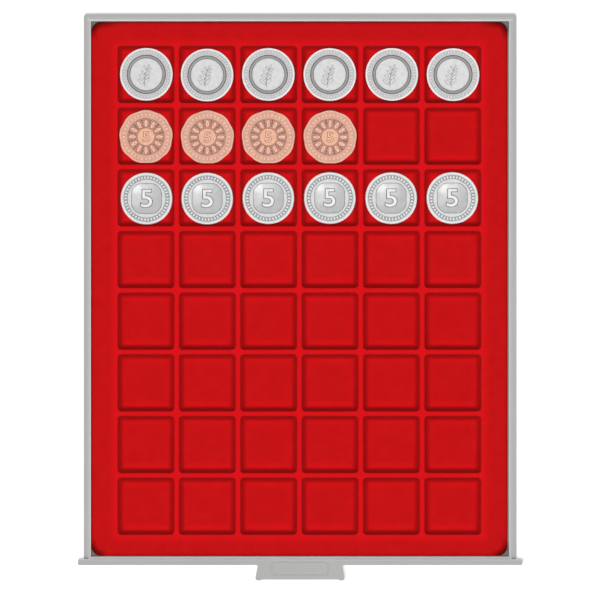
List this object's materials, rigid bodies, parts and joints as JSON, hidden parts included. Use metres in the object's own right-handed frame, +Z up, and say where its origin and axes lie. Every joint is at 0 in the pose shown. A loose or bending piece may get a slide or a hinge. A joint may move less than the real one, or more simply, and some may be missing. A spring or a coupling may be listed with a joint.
{
  "type": "coin box with drawer",
  "caption": "Flat stackable coin box: grey cover, drawer with front grip, red flocked insert of square pockets, loose coins; drawer shown out.",
  "frame": {"origin": "middle of the drawer tray's underside, with the drawer fully out in front of its cover", "axes": "+Z up, +X to the right as seen from the front, +Y from the drawer's grip towards the cover"},
  "size_m": [0.236, 0.6131, 0.0208],
  "materials": {
    "grey_plastic": "satin",
    "red_flock": "matte",
    "silver_metal": "satin",
    "core_metal": "satin",
    "copper": "satin",
    "nickel_metal": "satin"
  },
  "bodies": {
    "cover": {"cover": "grey_plastic"},
    "drawer": {"drawer_tray": "grey_plastic"},
    "insert": {"pocket_insert": "red_flock"},
    "ring_coin_1": {"ring_coin_1_outer": "silver_metal", "ring_coin_1_core": "core_metal"},
    "ring_coin_2": {"ring_coin_2_outer": "silver_metal", "ring_coin_2_core": "core_metal"},
    "ring_coin_3": {"ring_coin_3_outer": "silver_metal", "ring_coin_3_core": "core_metal"},
    "ring_coin_4": {"ring_coin_4_outer": "silver_metal", "ring_coin_4_core": "core_metal"},
    "ring_coin_5": {"ring_coin_5_outer": "silver_metal", "ring_coin_5_core": "core_metal"},
    "ring_coin_6": {"ring_coin_6_outer": "silver_metal", "ring_coin_6_core": "core_metal"},
    "nine_sided_coin_1": {"nine_sided_coin_1": "copper"},
    "nine_sided_coin_2": {"nine_sided_coin_2": "copper"},
    "nine_sided_coin_3": {"nine_sided_coin_3": "copper"},
    "nine_sided_coin_4": {"nine_sided_coin_4": "copper"},
    "plain_coin_1": {"plain_coin_1": "nickel_metal"},
    "plain_coin_2": {"plain_coin_2": "nickel_metal"},
    "plain_coin_3": {"plain_coin_3": "nickel_metal"},
    "plain_coin_4": {"plain_coin_4": "nickel_metal"},
    "plain_coin_5": {"plain_coin_5": "nickel_metal"},
    "plain_coin_6": {"plain_coin_6": "nickel_metal"}
  },
  "joints": [
    {"name": "drawer_slide", "type": "slide", "parent": "cover", "child": "drawer", "axis": [0, -1, 0], "range_m": [-0.3097, 0]},
    {"name": "insert_lift", "type": "slide", "parent": "drawer", "child": "insert", "axis": [0, 0, 1], "range_m": [0, 0.03]},
    {"name": "ring_coin_1_lift", "type": "slide", "parent": "insert", "child": "ring_coin_1", "axis": [0, 0, 1], "range_m": [0, 0.02]},
    {"name": "ring_coin_2_lift", "type": "slide", "parent": "insert", "child": "ring_coin_2", "axis": [0, 0, 1], "range_m": [0, 0.02]},
    {"name": "ring_coin_3_lift", "type": "slide", "parent": "insert", "child": "ring_coin_3", "axis": [0, 0, 1], "range_m": [0, 0.02]},
    {"name": "ring_coin_4_lift", "type": "slide", "parent": "insert", "child": "ring_coin_4", "axis": [0, 0, 1], "range_m": [0, 0.02]},
    {"name": "ring_coin_5_lift", "type": "slide", "parent": "insert", "child": "ring_coin_5", "axis": [0, 0, 1], "range_m": [0, 0.02]},
    {"name": "ring_coin_6_lift", "type": "slide", "parent": "insert", "child": "ring_coin_6", "axis": [0, 0, 1], "range_m": [0, 0.02]},
    {"name": "nine_sided_coin_1_lift", "type": "slide", "parent": "insert", "child": "nine_sided_coin_1", "axis": [0, 0, 1], "range_m": [0, 0.02]},
    {"name": "nine_sided_coin_2_lift", "type": "slide", "parent": "insert", "child": "nine_sided_coin_2", "axis": [0, 0, 1], "range_m": [0, 0.02]},
    {"name": "nine_sided_coin_3_lift", "type": "slide", "parent": "insert", "child": "nine_sided_coin_3", "axis": [0, 0, 1], "range_m": [0, 0.02]},
    {"name": "nine_sided_coin_4_lift", "type": "slide", "parent": "insert", "child": "nine_sided_coin_4", "axis": [0, 0, 1], "range_m": [0, 0.02]},
    {"name": "plain_coin_1_lift", "type": "slide", "parent": "insert", "child": "plain_coin_1", "axis": [0, 0, 1], "range_m": [0, 0.02]},
    {"name": "plain_coin_2_lift", "type": "slide", "parent": "insert", "child": "plain_coin_2", "axis": [0, 0, 1], "range_m": [0, 0.02]},
    {"name": "plain_coin_3_lift", "type": "slide", "parent": "insert", "child": "plain_coin_3", "axis": [0, 0, 1], "range_m": [0, 0.02]},
    {"name": "plain_coin_4_lift", "type": "slide", "parent": "insert", "child": "plain_coin_4", "axis": [0, 0, 1], "range_m": [0, 0.02]},
    {"name": "plain_coin_5_lift", "type": "slide", "parent": "insert", "child": "plain_coin_5", "axis": [0, 0, 1], "range_m": [0, 0.02]},
    {"name": "plain_coin_6_lift", "type": "slide", "parent": "insert", "child": "plain_coin_6", "axis": [0, 0, 1], "range_m": [0, 0.02]}
  ]
}
